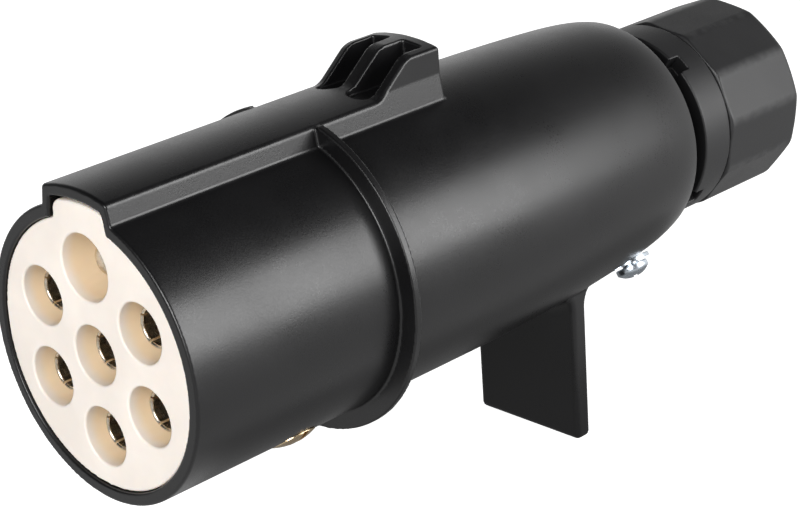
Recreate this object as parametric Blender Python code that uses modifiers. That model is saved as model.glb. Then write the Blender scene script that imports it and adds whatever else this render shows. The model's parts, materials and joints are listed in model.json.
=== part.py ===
"""Seven-pole trailer plug with a cable gland. Metres, +Z up.

The plug lies along Y: its mating face looks along -Y and its cable end along +Y.
Every length below is in millimetres and is measured in the plug's own axes: y from
the mating face, x and z from the plug's axis. The empty "plug" carries these axes,
so that the origin of the scene is at the middle of the base.
"""
import math

import bmesh
import bpy
from mathutils import Matrix, Vector

MM = 0.001
GAP = 0.3                    # clearance between touching pieces
WELD = 0.000002              # metres: points closer than this are one point

# Overall
LENGTH = 140.0
FIN_DROP = 44.2              # plug axis to the foot of the fin

# Housing
SLEEVE_R = 22.0
BORE_R = 20.1
BORE_DEPTH = 37.3
FLANGE_Y = 37.7
FLANGE_T = 1.3
FLANGE_R = 25.0
FILLET = 0.35
DOME_START = 60.0
DOME_END = 108.6
DOME_LIFT = 0.85             # the crown's end stands this much above the axis
WALL = 2.3
END_WALL = 4.6
NECK_R = 12.7
STOP_R = 18.9                # the rib inside that the insert's plate comes up against
STOP_T = 1.6
OUTSIDE_R = 26.0             # clear of the sleeve: where the cutters of radial holes start

# Key and latch block
KEY_HALF = 7.25
KEY_R = 24.75
KEY_ROOT_R = 20.7            # the key and the block start inside the sleeve's wall
CHANNEL_HALF = 5.9
CHANNEL_R = 23.0
BLOCK_RISE_Y = 50.9
BLOCK_TOP_Y = 56.9
BLOCK_END_Y = 63.7
BLOCK_R = 29.5
SLOT_X = 3.2
SLOT_W = 3.9
SLOT_START_Y = 48.4
SLOT_END_Y = 61.5
SLOT_FLOOR_Z = 23.7

# Fin
FIN_Y = 86.2
FIN_T = 3.2
FIN_HALF = 10.95
FIN_FILLET = 3.2
FIN_ROOT_R = 19.4            # the fin's root starts inside the crown's wall

# Contacts
INSERT_FACE_Y = 0.4
INSERT_END_Y = 34.2
PITCH_R = 12.36
PIN_PITCH_R = 13.0
CHAMBER_R = 4.43
PIN_CHAMBER_R = 4.95
CHAMBER_END_Y = 20.0
TUBE_R = 3.1
TUBE_BORE_R = 2.6
TUBE_FACE_Y = 3.0
PIN_R = 2.45
PIN_TIP_Y = 3.6
SHANK_R = 3.0
COLLAR_R = 4.1
PLATE_T = 2.4
BARREL_END_Y = 48.0
TERMINAL_Y = 43.0

CONTACT_COLLAR_Y = 31.0
CONTACT_COLLAR_END_Y = 33.8
TUBE_END_Y = 19.0
TUBE_BORE_END_Y = 18.0
CLIP_Y = 8.5
CLIP_END_Y = 14.0
CLIP_T = 0.4
WIRE_R = 1.9
WIRE_DEPTH = 9.0

# Screws
SCREW_ANGLE = 32.0           # fixing screws, each side of the lowest line
INSERT_SCREW_Y = 24.6
INSERT_SCREW_R = 1.8
INSERT_HEAD_R = 3.5
REAR_SCREW_Y = 100.6
REAR_SCREW_R = 1.4
REAR_HEAD_R = 2.75
WASHER_R = 3.5
WASHER_LOW = 19.8            # distance of the washer's inner face from the plug's axis
WASHER_T = 0.7
WASHER_REACH = 5.3           # how far its tab reaches towards the mating face
HOLE_GAP = 0.35              # clearance round screws and heads
TERMINAL_SCREW_R = 1.25
TERMINAL_HEAD_R = 2.4
TERMINAL_HEAD_T = 1.4

# Support ring inside the crown
RING_Y = 96.4
RING_END_Y = 103.7
RING_R = 17.2

# Gland
GLAND_START_Y = 98.0
GLAND_BORE_R = 9.8
SEAL_SEAT_Y = 124.0
SEAL_SEAT_R = 12.4
SEAL_END_Y = 133.0
O_RING_Y = 109.0
O_RING_R = 0.95
FRICTION_RING_Y = 133.3
FRICTION_RING_T = 0.9
COLLAR_Y = 114.4
COLLAR_RING_R = 16.2
COLLAR_END_Y = 120.8
STUB_R = 14.0
STUB_END_Y = 131.5
CABLE_R = 7.5
NUT_R = 16.6
NUT_FLATS = 12
NUT_PHASE = 24.0
NUT_Y = 121.1
NUT_EXIT_R = 8.8
NUT_BORE_R = 14.3
NUT_BORE_END_Y = 134.5


def clear_scene():
    for obj in list(bpy.data.objects):
        bpy.data.objects.remove(obj, do_unlink=True)


def new_collection(name):
    collection = bpy.data.collections.new(name)
    bpy.context.scene.collection.children.link(collection)
    return collection


def material(name, colour, roughness, metallic=0.0):
    mat = bpy.data.materials.new(name)
    mat.use_nodes = True
    shader = mat.node_tree.nodes["Principled BSDF"]
    shader.inputs["Base Color"].default_value = (*colour, 1.0)
    shader.inputs["Roughness"].default_value = roughness
    shader.inputs["Metallic"].default_value = metallic
    return mat


def add(name, mesh, matrix=None, collection=None):
    """An object whose matrix is given in the plug's axes."""
    obj = bpy.data.objects.new(name, mesh)
    (collection or parts).objects.link(obj)
    obj.parent = plug
    obj.matrix_local = matrix or Matrix()
    if collection is cutters:
        obj.hide_render = True
        obj.display_type = "WIRE"
    return obj


def along_y(y=0.0, x=0.0, z=0.0):
    """Places a turned shape with its own +Z along the plug's +Y."""
    return Matrix.Translation(Vector((x, y, z)) * MM) @ Matrix.Rotation(-math.pi / 2, 4, "X")


def radial(angle, y, x=0.0, z=0.0):
    """Places a turned shape with its own +Z pointing away from a line along Y.

    The angle is measured from straight up, clockwise seen from the mating face.
    """
    place = Matrix.Translation(Vector((x, y, z)) * MM)
    return place @ Matrix.Rotation(math.radians(angle), 4, "Y")


def lathe(name, profile, steps, matrix, collection=None, closed=True):
    """Turns a profile of (height, radius) pairs about its own Z.

    Pairs run from the low end to the high end along the inner side, and back down
    the outer side. A solid bar starts and ends on the axis, and isn't closed.
    """
    mesh = bpy.data.meshes.new(name)
    points = [(radius * MM, 0.0, height * MM) for height, radius in profile]
    edges = [(i, i + 1) for i in range(len(points) - 1)]
    if closed:
        edges.append((len(points) - 1, 0))
    mesh.from_pydata(points, edges, [])
    obj = add(name, mesh, matrix, collection)
    screw = obj.modifiers.new("turn", "SCREW")
    screw.steps = steps
    screw.render_steps = steps
    screw.use_merge_vertices = True
    screw.merge_threshold = WELD
    return obj


def ring(name, low, high, inner, outer, steps, matrix, collection=None, chamfer=0.0):
    """A plain ring, with its two outer edges chamfered if a chamfer is given."""
    profile = [(low, inner), (high, inner), (high, outer - chamfer)]
    if chamfer:
        profile += [(high - chamfer, outer), (low + chamfer, outer)]
    profile.append((low, outer - chamfer))
    return lathe(name, profile, steps, matrix, collection)


def bar(name, low, high, radius, steps, matrix, collection=None):
    profile = [(high, 0.0), (high, radius), (low, radius), (low, 0.0)]
    return lathe(name, profile, steps, matrix, collection, closed=False)


def block(name, low, high, matrix=None, collection=None):
    """A box between two corners."""
    bm = bmesh.new()
    bmesh.ops.create_cube(bm, size=1.0)
    low = Vector(low) * MM
    high = Vector(high) * MM
    bmesh.ops.scale(bm, vec=high - low, verts=bm.verts)
    bmesh.ops.translate(bm, vec=(low + high) / 2, verts=bm.verts)
    mesh = bpy.data.meshes.new(name)
    bm.to_mesh(mesh)
    bm.free()
    return add(name, mesh, matrix, collection)


def slab(name, outline, low, high, matrix=None, collection=None):
    """A flat outline of (x, y) pairs, thickened along its own Z from low to high."""
    curve = bpy.data.curves.new(name, "CURVE")
    curve.dimensions = "2D"
    curve.fill_mode = "BOTH"
    curve.extrude = (high - low) / 2 * MM
    spline = curve.splines.new("POLY")
    spline.points.add(len(outline) - 1)
    for point, (x, y) in zip(spline.points, outline):
        point.co = (x * MM, y * MM, 0.0, 1.0)
    spline.use_cyclic_u = True
    flat = bpy.data.objects.new(name + "_outline", curve)
    bpy.context.scene.collection.objects.link(flat)
    bpy.context.view_layer.update()
    mesh = bpy.data.meshes.new_from_object(flat.evaluated_get(bpy.context.evaluated_depsgraph_get()))
    bpy.data.objects.remove(flat)
    bm = bmesh.new()
    bm.from_mesh(mesh)
    bmesh.ops.remove_doubles(bm, verts=bm.verts, dist=WELD)
    bmesh.ops.translate(bm, vec=(0.0, 0.0, (low + high) / 2 * MM), verts=bm.verts)
    bmesh.ops.recalc_face_normals(bm, faces=bm.faces)
    bm.to_mesh(mesh)
    bm.free()
    return add(name, mesh, matrix, collection)


def boolean(obj, operation, other):
    mod = obj.modifiers.new(operation.lower(), "BOOLEAN")
    mod.operation = operation
    mod.object = other
    mod.solver = "EXACT"


def cut(obj, *others):
    for other in others:
        boolean(obj, "DIFFERENCE", other)


def fuse(obj, *others):
    for other in others:
        boolean(obj, "UNION", other)


def keep(obj, *others):
    for other in others:
        boolean(obj, "INTERSECT", other)


def bevel(obj, width, segments=2, angle=35.0):
    mod = obj.modifiers.new("edges", "BEVEL")
    mod.width = width * MM
    mod.segments = segments
    mod.limit_method = "ANGLE"
    mod.angle_limit = math.radians(angle)


def bake(obj):
    """Applies the modelling steps so far and welds the slivers they leave."""
    bpy.context.view_layer.update()
    mesh = bpy.data.meshes.new_from_object(obj.evaluated_get(bpy.context.evaluated_depsgraph_get()))
    bm = bmesh.new()
    bm.from_mesh(mesh)
    bmesh.ops.remove_doubles(bm, verts=bm.verts, dist=WELD)
    bmesh.ops.dissolve_degenerate(bm, edges=bm.edges, dist=WELD)
    bm.to_mesh(mesh)
    bm.free()
    obj.modifiers.clear()
    obj.data = mesh


def finish(obj, mat, angle=35.0):
    """Applies the modelling steps, then gives the piece its material and shading."""
    bake(obj)
    obj.data.materials.clear()
    obj.data.materials.append(mat)
    obj.data.shade_smooth()
    obj.data.set_sharp_from_angle(angle=math.radians(angle))


def dome_radius(y):
    t = max(0.0, (y - DOME_START) / (DOME_END - DOME_START))
    return SLEEVE_R - 2.3 * t ** 2.1 - 0.8 * t ** 14


def dome_lift(y):
    t = max(0.0, (y - DOME_START) / (DOME_END - DOME_START))
    return DOME_LIFT * t ** 2


def fillet_arc(y, radius, size, sweep, count=3):
    """A hollow quarter round that leads a radius into a face that stands up from it."""
    points = []
    for i in range(count + 1):
        a = math.pi / 2 * i / count
        points.append((y + sweep * size * (1 - math.sin(a)), radius + size * (1 - math.cos(a))))
    return points


# ---------------------------------------------------------------- housing

def housing_shell():
    """Sleeve, flange and crown: one turned wall, open at both ends."""
    outer = [(0.0, SLEEVE_R - 0.4), (0.4, SLEEVE_R)]
    outer += fillet_arc(FLANGE_Y, SLEEVE_R, FILLET, -1, 1)
    rim = FLANGE_Y + FLANGE_T
    outer += [(FLANGE_Y, FLANGE_R - 0.2), (FLANGE_Y + 0.2, FLANGE_R)]
    outer += [(rim - 0.2, FLANGE_R), (rim, FLANGE_R - 0.2)]
    outer += list(reversed(fillet_arc(rim, SLEEVE_R, FILLET, 1, 1)))
    crown = [DOME_START, 74.0, 86.0, 94.0, 100.0, 104.0, 106.5, 107.8]
    outer += [(y, dome_radius(y)) for y in crown]
    outer += [(DOME_END - 0.1, dome_radius(DOME_END)), (DOME_END, dome_radius(DOME_END) - 0.15)]

    inner = [(0.0, BORE_R), (BORE_DEPTH, BORE_R)]
    inner += [(BORE_DEPTH, STOP_R), (BORE_DEPTH + STOP_T, STOP_R), (BORE_DEPTH + STOP_T, SLEEVE_R - WALL)]
    inner += [(y, dome_radius(y) - WALL) for y in (DOME_START, 80.0, 94.0)]
    inner += [(DOME_END - END_WALL, dome_radius(DOME_END - END_WALL) - WALL)]
    inner += [(DOME_END - END_WALL, NECK_R + GAP), (DOME_END, NECK_R + GAP)]
    shell = lathe("housing", inner + list(reversed(outer)), 48, along_y())
    bake(shell)
    for vertex in shell.data.vertices:
        y = vertex.co.z / MM
        radius = math.hypot(vertex.co.x, vertex.co.y) / MM
        if radius > dome_radius(y) - WALL / 2 and y < DOME_END - 0.05:
            vertex.co.y -= dome_lift(y) * MM
        elif y >= DOME_END - 0.05 and radius > NECK_R + 2:
            vertex.co.y -= DOME_LIFT * MM
    return shell


def key_and_block():
    """The key rib and the latch block behind it, cut from one turned band."""
    top = [(0.0, KEY_R), (BLOCK_RISE_Y, KEY_R), (BLOCK_TOP_Y, BLOCK_R), (BLOCK_END_Y - 0.7, BLOCK_R + 0.1)]
    top += [(BLOCK_END_Y - 0.2, BLOCK_R - 0.1), (BLOCK_END_Y, BLOCK_R - 0.7), (BLOCK_END_Y, KEY_ROOT_R)]
    band = lathe("key_band", [(0.0, KEY_ROOT_R)] + list(reversed(top)), 96, along_y(), cutters)
    side = block("key_sides", (-KEY_HALF, -1.0, 10.0), (KEY_HALF, 70.0, 40.0), collection=cutters)
    keep(band, side)
    bevel(band, 0.4, 1)
    return band


def slot_cutter(x):
    """A long slot with a round front end, open to the top."""
    r = SLOT_W / 2
    outline = []
    for i in range(7):
        a = math.pi * i / 6
        outline.append((x + r * math.cos(a), SLOT_START_Y + r - r * math.sin(a)))
    outline += [(x - r, SLOT_END_Y), (x + r, SLOT_END_Y)]
    return slab("slot", outline, SLOT_FLOOR_Z, BLOCK_R + 4.0, collection=cutters)


def fin():
    """The fin plate and its root, which follows the crown round."""
    plate = block("fin_plate", (-FIN_HALF, FIN_Y, -FIN_DROP), (FIN_HALF, FIN_Y + FIN_T, -14.0),
                  collection=cutters)
    bevel(plate, 1.1, 2)
    front = fillet_arc(FIN_Y, dome_radius(FIN_Y) - 0.2, FIN_FILLET, -1, 4)
    back = fillet_arc(FIN_Y + FIN_T, dome_radius(FIN_Y + FIN_T) - 0.2, FIN_FILLET, 1, 4)
    outline = [(front[0][0], FIN_ROOT_R)] + front + list(reversed(back)) + [(back[0][0], FIN_ROOT_R)]
    root = lathe("fin_root", list(reversed(outline)), 56, along_y(), cutters)
    bounds = block("fin_root_sides", (-FIN_HALF, 70.0, -40.0), (FIN_HALF, 100.0, -9.0), collection=cutters)
    keep(root, bounds)
    return plate, root


def fixing_screw_cutters(angle):
    """Holes for one insert screw and one rear screw, with the seats of their heads."""
    hole = INSERT_SCREW_R + HOLE_GAP
    mouth = INSERT_HEAD_R + HOLE_GAP
    seat = [(OUTSIDE_R, 0.0), (OUTSIDE_R, mouth), (21.75, mouth), (20.05, hole), (14.9, hole), (14.9, 0.0)]
    front = lathe("insert_screw_seat", seat, 16, radial(angle, INSERT_SCREW_Y), cutters, closed=False)
    hole = REAR_SCREW_R + 0.4
    mouth = WASHER_R + 0.4
    floor = WASHER_LOW - GAP
    seat = [(OUTSIDE_R, 0.0), (OUTSIDE_R, mouth), (floor, mouth), (floor, hole), (13.0, hole), (13.0, 0.0)]
    rear = lathe("rear_screw_seat", seat, 16, radial(angle, REAR_SCREW_Y), cutters, closed=False)
    groove = block("washer_tab_seat", (-1.4, -WASHER_REACH - GAP, WASHER_LOW - 0.25), (1.4, 0.5, 24.0),
                   radial(angle, REAR_SCREW_Y), cutters)
    return front, rear, groove


def build_housing():
    shell = housing_shell()
    fuse(shell, key_and_block(), *fin())
    bake(shell)
    channel = bar("key_channel", -1.0, BORE_DEPTH, CHANNEL_R, 72, along_y(), cutters)
    keep(channel, block("channel_sides", (-CHANNEL_HALF, -2.0, 8.0), (CHANNEL_HALF, 50.0, 30.0),
                        collection=cutters))
    cut(shell, channel, slot_cutter(-SLOT_X), slot_cutter(SLOT_X))
    bake(shell)
    for angle in (180 - SCREW_ANGLE, 180 + SCREW_ANGLE):
        cut(shell, *fixing_screw_cutters(angle))
        bake(shell)
    finish(shell, black)


# ---------------------------------------------------------------- contacts

def poles():
    """(number, x, z, angle) of each pole: five round the ring, the centre, then the pin."""
    places = []
    for number, angle in enumerate((60, 120, 180, 240, 300), start=1):
        a = math.radians(angle)
        places.append((number, PITCH_R * math.sin(a), PITCH_R * math.cos(a), angle))
    places.append((6, 0.0, 0.0, 90))
    places.append((7, 0.0, PIN_PITCH_R, 0))
    return places


def build_insert():
    profile = [(INSERT_END_Y, 0.0), (INSERT_END_Y, BORE_R - GAP), (INSERT_FACE_Y + 0.2, BORE_R - GAP),
               (INSERT_FACE_Y, BORE_R - GAP - 0.2), (INSERT_FACE_Y, 0.0)]
    insert = lathe("contact_insert", profile, 48, along_y(), closed=False)
    tab = bar("insert_tab", INSERT_FACE_Y, INSERT_END_Y, CHANNEL_R - GAP, 72, along_y(), cutters)
    keep(tab, block("tab_sides", (-CHANNEL_HALF + GAP, -1.0, 10.0), (CHANNEL_HALF - GAP, 40.0, 30.0),
                    collection=cutters))
    bevel(tab, 0.7, 1)
    fuse(insert, tab)
    for number, x, z, angle in poles():
        radius = PIN_CHAMBER_R if number == 7 else CHAMBER_R
        seat = CONTACT_COLLAR_Y - GAP
        profile = [(40.0, 0.0), (40.0, COLLAR_R + GAP), (seat, COLLAR_R + GAP), (seat, SHANK_R + GAP),
                   (CHAMBER_END_Y, SHANK_R + GAP), (CHAMBER_END_Y, radius), (-1.0, radius), (-1.0, 0.0)]
        cut(insert, lathe("chamber", profile, 16, along_y(0.0, x, z), cutters, closed=False))
    for angle in (180 - SCREW_ANGLE, 180 + SCREW_ANGLE):
        cut(insert, bar("insert_screw_hole", 15.2, OUTSIDE_R, INSERT_SCREW_R + HOLE_GAP, 12,
                        radial(angle, INSERT_SCREW_Y), cutters))
    finish(insert, cream)

    low = INSERT_END_Y + GAP
    plate = bar("retaining_plate", low, low + PLATE_T, BORE_R - GAP - 0.1, 32, along_y())
    for number, x, z, angle in poles():
        cut(plate, bar("plate_hole", 30.0, 40.0, SHANK_R + GAP, 12, along_y(0.0, x, z), cutters))
    finish(plate, cream)


def wire_end():
    """The rear of a contact: shank, collar and the wire bore, from the rear forwards."""
    floor = BARREL_END_Y - WIRE_DEPTH
    return [(floor, 0.0), (floor, WIRE_R), (BARREL_END_Y, WIRE_R), (BARREL_END_Y, SHANK_R),
            (CONTACT_COLLAR_END_Y, SHANK_R), (CONTACT_COLLAR_END_Y, COLLAR_R),
            (CONTACT_COLLAR_Y, COLLAR_R), (CONTACT_COLLAR_Y, SHANK_R)]


def build_contacts():
    for number, x, z, angle in poles():
        if number == 7:
            profile = wire_end() + [(TUBE_BORE_END_Y, SHANK_R), (TUBE_BORE_END_Y, PIN_R),
                                    (PIN_TIP_Y + 1.0, PIN_R),
                                    (PIN_TIP_Y + 0.3, PIN_R - 0.7), (PIN_TIP_Y, PIN_R - 1.3),
                                    (PIN_TIP_Y, 0.0)]
            contact = lathe("contact_pin", profile, 12, along_y(0.0, x, z), closed=False)
        else:
            profile = wire_end() + [(TUBE_END_Y, SHANK_R), (TUBE_END_Y, TUBE_R), (TUBE_FACE_Y, TUBE_R),
                                    (TUBE_FACE_Y, TUBE_BORE_R), (TUBE_BORE_END_Y, TUBE_BORE_R),
                                    (TUBE_BORE_END_Y, 0.0)]
            contact = lathe(f"contact_socket_{number}", profile, 12, along_y(0.0, x, z), closed=False)
            cut(contact, block("slit", (-0.25, 2.0, -5.0), (0.25, 16.0, 5.0),
                               radial(25.0, 0.0, x, z), cutters))
        cut(contact, bar("terminal_hole", 0.5, 6.0, TERMINAL_SCREW_R + GAP, 8,
                         radial(angle, TERMINAL_Y, x, z), cutters))
        finish(contact, nickel)

        if number != 7:
            clip = ring(f"spring_sleeve_{number}", CLIP_Y, CLIP_END_Y, TUBE_R + GAP, TUBE_R + GAP + CLIP_T,
                        12, along_y(0.0, x, z))
            finish(clip, steel)

        under = SHANK_R + GAP
        top = under + TERMINAL_HEAD_T
        profile = [(top, 0.0), (top, TERMINAL_HEAD_R), (under, TERMINAL_HEAD_R), (under, TERMINAL_SCREW_R),
                   (0.6, TERMINAL_SCREW_R), (0.6, 0.0)]
        screw = lathe(f"terminal_screw_{number}", profile, 10, radial(angle, TERMINAL_Y, x, z), closed=False)
        cut(screw, block("terminal_slot", (-3.0, -0.35, SHANK_R + 1.0), (3.0, 0.35, 9.0),
                         radial(angle, TERMINAL_Y, x, z), cutters))
        finish(screw, steel)


# ---------------------------------------------------------------- fixing screws

def build_fixing_screws():
    for side, angle in (("right", 180 - SCREW_ANGLE), ("left", 180 + SCREW_ANGLE)):
        place = radial(angle, INSERT_SCREW_Y)
        profile = [(22.75, 0.0), (22.65, 1.5), (22.4, 2.7), (22.0, INSERT_HEAD_R), (21.8, INSERT_HEAD_R),
                   (20.1, INSERT_SCREW_R), (16.1, INSERT_SCREW_R), (15.6, INSERT_SCREW_R - 0.6),
                   (15.6, 0.0)]
        screw = lathe(f"insert_screw_{side}", profile, 16, place, closed=False)
        cut(screw, block("insert_screw_slot", (-4.0, -0.45, 21.7), (4.0, 0.45, 24.0), place, cutters))
        finish(screw, brass)

        place = radial(angle, REAR_SCREW_Y)
        under = WASHER_LOW + WASHER_T + GAP
        profile = [(22.8, 0.0), (22.75, 1.2), (22.5, 2.0), (22.05, 2.5), (21.4, REAR_HEAD_R),
                   (under, REAR_HEAD_R), (under, REAR_SCREW_R), (14.8, REAR_SCREW_R),
                   (14.4, REAR_SCREW_R - 0.4), (14.4, 0.0)]
        screw = lathe(f"rear_screw_{side}", profile, 16, place, closed=False)
        for turn in (45.0, 135.0):
            spin = place @ Matrix.Rotation(math.radians(turn), 4, "Z")
            cut(screw, block("cross_slot", (-1.6, -0.35, 21.9), (1.6, 0.35, 24.0), spin, cutters))
        finish(screw, zinc)

        high = WASHER_LOW + WASHER_T
        washer = ring(f"tab_washer_{side}", WASHER_LOW, high, REAR_SCREW_R + HOLE_GAP, WASHER_R, 16, place)
        fuse(washer, block("washer_tab", (-1.1, -WASHER_REACH, WASHER_LOW), (1.1, -2.6, high), place,
                           cutters))
        finish(washer, zinc)

    carrier = ring("support_ring", RING_Y, RING_END_Y, NECK_R + 0.4, RING_R, 36, along_y(), chamfer=0.4)
    for angle in (180 - SCREW_ANGLE, 180 + SCREW_ANGLE):
        cut(carrier, bar("support_ring_hole", 10.0, 20.0, REAR_SCREW_R + GAP, 12,
                         radial(angle, REAR_SCREW_Y), cutters))
    finish(carrier, black)


# ---------------------------------------------------------------- gland

def build_gland():
    inner = [(GLAND_START_Y, GLAND_BORE_R), (SEAL_SEAT_Y, GLAND_BORE_R), (SEAL_SEAT_Y, SEAL_SEAT_R),
             (STUB_END_Y, SEAL_SEAT_R)]
    outer = [(GLAND_START_Y, NECK_R), (COLLAR_Y, NECK_R), (COLLAR_Y, COLLAR_RING_R - 0.3),
             (COLLAR_Y + 0.3, COLLAR_RING_R), (COLLAR_END_Y, COLLAR_RING_R), (COLLAR_END_Y, STUB_R),
             (STUB_END_Y - 0.5, STUB_R), (STUB_END_Y, STUB_R - 0.5)]
    body = lathe("gland_body", inner + list(reversed(outer)), 36, along_y())
    for angle in (38, 128, 218, 308):
        cut(body, block("collar_notch", (-1.4, COLLAR_Y - 1.0, 13.4), (1.4, COLLAR_Y + 2.2, 20.0),
                        radial(angle, 0.0), cutters))
    finish(body, black)

    seal = lathe("gland_o_ring", o_ring_profile(O_RING_Y, NECK_R + GAP, O_RING_R), 32, along_y())
    finish(seal, rubber)

    low = SEAL_SEAT_Y + GAP
    outer = SEAL_SEAT_R - GAP
    profile = [(low, CABLE_R), (SEAL_END_Y, CABLE_R), (SEAL_END_Y, outer - 1.3), (SEAL_END_Y - 2.0, outer),
               (low, outer)]
    finish(lathe("cable_seal", profile, 32, along_y()), rubber)

    high = FRICTION_RING_Y + FRICTION_RING_T
    finish(ring("friction_ring", FRICTION_RING_Y, high, 8.3, 13.0, 32, along_y()), steel)

    profile = [(NUT_Y, NUT_BORE_R), (NUT_BORE_END_Y, NUT_BORE_R), (NUT_BORE_END_Y, NUT_EXIT_R),
               (LENGTH - 0.8, NUT_EXIT_R), (LENGTH, NUT_EXIT_R + 0.8), (LENGTH, NUT_R - 1.4),
               (LENGTH - 0.9, NUT_R), (NUT_Y + 0.5, NUT_R), (NUT_Y, NUT_R - 0.7)]
    nut = lathe("gland_nut", profile, 36, along_y())
    prism = bpy.data.meshes.new("nut_flats")
    bm = bmesh.new()
    bmesh.ops.create_cone(bm, cap_ends=True, segments=NUT_FLATS, radius1=NUT_R * MM, radius2=NUT_R * MM,
                          depth=40.0 * MM)
    bm.to_mesh(prism)
    bm.free()
    turn = Matrix.Rotation(math.radians(NUT_PHASE), 4, "Y")
    keep(nut, add("nut_flats", prism, turn @ along_y(LENGTH - 10.0), cutters))
    finish(nut, black, 12.0)


def o_ring_profile(low, inner, radius):
    """A round section, listed up its inner side and down its outer side."""
    points = []
    for i in range(6):
        a = -math.pi / 2 - 2 * math.pi * i / 6
        points.append((low + radius + radius * math.sin(a), inner + radius + radius * math.cos(a)))
    return points


clear_scene()
parts = new_collection("trailer_plug")
cutters = new_collection("cutters")
plug = bpy.data.objects.new("plug", None)
parts.objects.link(plug)
plug.location = (0.0, -LENGTH / 2 * MM, FIN_DROP * MM)

black = material("black_polyamide", (0.018, 0.018, 0.020), 0.42)
cream = material("cream_polyamide", (0.86, 0.80, 0.70), 0.45)
nickel = material("nickel_brass", (0.60, 0.55, 0.46), 0.28, 1.0)
steel = material("bright_steel", (0.62, 0.63, 0.65), 0.30, 1.0)
brass = material("plated_brass", (0.66, 0.60, 0.50), 0.30, 1.0)
zinc = material("zinc_plate", (0.66, 0.72, 0.78), 0.25, 1.0)
rubber = material("black_rubber", (0.015, 0.015, 0.015), 0.75)

build_housing()
build_insert()
build_contacts()
build_fixing_screws()
build_gland()
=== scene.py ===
# %% [markdown]
# A round trailer plug: a black moulded housing with a key rib, a latch block and a
# fin, a cream insert with sunk contacts, and a cable gland at the back. The packed
# model gives every position. This file gives the surfaces: rounded edges, finer
# screws and contacts, and a finish for each material.

# %% Load the fixed frame
import json
import math

import bmesh
import bpy
import numpy as np
from mathutils import Matrix, Vector

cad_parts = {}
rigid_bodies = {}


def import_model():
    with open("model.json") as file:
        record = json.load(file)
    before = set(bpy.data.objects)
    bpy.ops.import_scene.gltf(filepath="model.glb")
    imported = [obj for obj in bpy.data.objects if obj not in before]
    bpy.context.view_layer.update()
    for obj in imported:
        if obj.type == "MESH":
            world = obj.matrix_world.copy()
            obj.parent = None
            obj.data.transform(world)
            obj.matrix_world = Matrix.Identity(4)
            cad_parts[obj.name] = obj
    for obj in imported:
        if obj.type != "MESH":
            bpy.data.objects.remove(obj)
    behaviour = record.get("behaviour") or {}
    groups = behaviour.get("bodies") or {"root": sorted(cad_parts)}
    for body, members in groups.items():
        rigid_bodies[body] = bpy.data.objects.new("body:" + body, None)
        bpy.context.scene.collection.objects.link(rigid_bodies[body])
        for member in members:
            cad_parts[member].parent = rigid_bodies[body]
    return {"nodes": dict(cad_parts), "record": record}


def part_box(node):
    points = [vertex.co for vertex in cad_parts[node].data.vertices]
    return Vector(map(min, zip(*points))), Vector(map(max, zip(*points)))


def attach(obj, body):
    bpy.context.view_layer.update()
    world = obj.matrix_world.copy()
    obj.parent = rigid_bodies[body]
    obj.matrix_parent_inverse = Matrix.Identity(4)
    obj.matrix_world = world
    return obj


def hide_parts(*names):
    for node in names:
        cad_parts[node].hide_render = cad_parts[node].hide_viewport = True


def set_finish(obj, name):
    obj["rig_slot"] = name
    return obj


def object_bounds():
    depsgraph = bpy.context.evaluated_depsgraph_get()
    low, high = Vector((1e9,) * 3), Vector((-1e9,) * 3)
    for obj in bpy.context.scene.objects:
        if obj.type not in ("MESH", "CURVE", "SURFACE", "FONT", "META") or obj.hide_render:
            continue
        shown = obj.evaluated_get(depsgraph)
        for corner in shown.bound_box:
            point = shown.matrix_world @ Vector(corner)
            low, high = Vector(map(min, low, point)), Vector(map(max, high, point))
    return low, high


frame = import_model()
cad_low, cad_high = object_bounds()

MM = 0.001
nut_low, nut_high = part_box("gland_nut")
AXIS_Z = (nut_low.z + nut_high.z) / 2
FACE_Y = cad_low.y
LENGTH = (cad_high.y - cad_low.y) / MM
print("axis height", round(AXIS_Z / MM, 2), "length", round(LENGTH, 2))

# %% [markdown]
# All sizes below are in millimetres in the plug's own axes: y from the mating face
# towards the cable, x and z from the plug's middle line. One matrix turns these axes
# into the frame's metres, so a piece that is made in them lands on its CAD solid.

# %% The plug's axes
PLUG = Matrix.Translation((0.0, FACE_Y, AXIS_Z)) @ Matrix.Scale(MM, 4)
TO_PLUG = PLUG.inverted()
pieces = bpy.data.collections.new("pieces")
bpy.context.scene.collection.children.link(pieces)


def to_plug(point):
    """A point of the frame, in metres, as the plug's millimetres."""
    return TO_PLUG @ Vector(point)


def span_y(node):
    """Where a CAD node starts and ends along the plug."""
    low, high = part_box(node)
    return to_plug(low).y, to_plug(high).y


print("nut from", [round(v, 2) for v in span_y("gland_nut")])

# %% [markdown]
# Moulded plastic has no sharp edges: every outer edge is rounded and every inner
# corner has a fillet, because the mould is cut with round tools. A Bevel modifier
# struggles where many cuts meet, so the form is written as a distance: a formula
# that is negative inside the plastic and positive outside. Where two distances meet,
# a small circle can round the edge, and the same trick fills a corner.

# %% Rounded joins between distances
def meet(a, b, radius=0.0):
    """Inside both, with the edge between them rounded."""
    if not radius:
        return np.maximum(a, b)
    over = np.hypot(np.maximum(a + radius, 0.0), np.maximum(b + radius, 0.0))
    return np.minimum(-radius, np.maximum(a, b)) + over


def join(a, b, radius=0.0):
    """Inside either, with the corner between them filled."""
    return -meet(-a, -b, radius)


def between(value, low, high):
    """Inside a slab."""
    return np.abs(value - (low + high) / 2) - (high - low) / 2


def radial(x, z, degrees):
    """Distance out along a spoke of the plug, and across it."""
    a = math.radians(degrees)
    return x * math.sin(a) + z * math.cos(a), x * math.cos(a) - z * math.sin(a)


# %% [markdown]
# The mesh for such a form starts as a copy of the CAD node. A voxel Remesh spreads
# even quads over it, then each point walks down the distance's slope until it lies on
# the form, while its neighbours pull it sideways to keep the quads even. Decimate
# then takes points away where the surface is flat or simply round.

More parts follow.
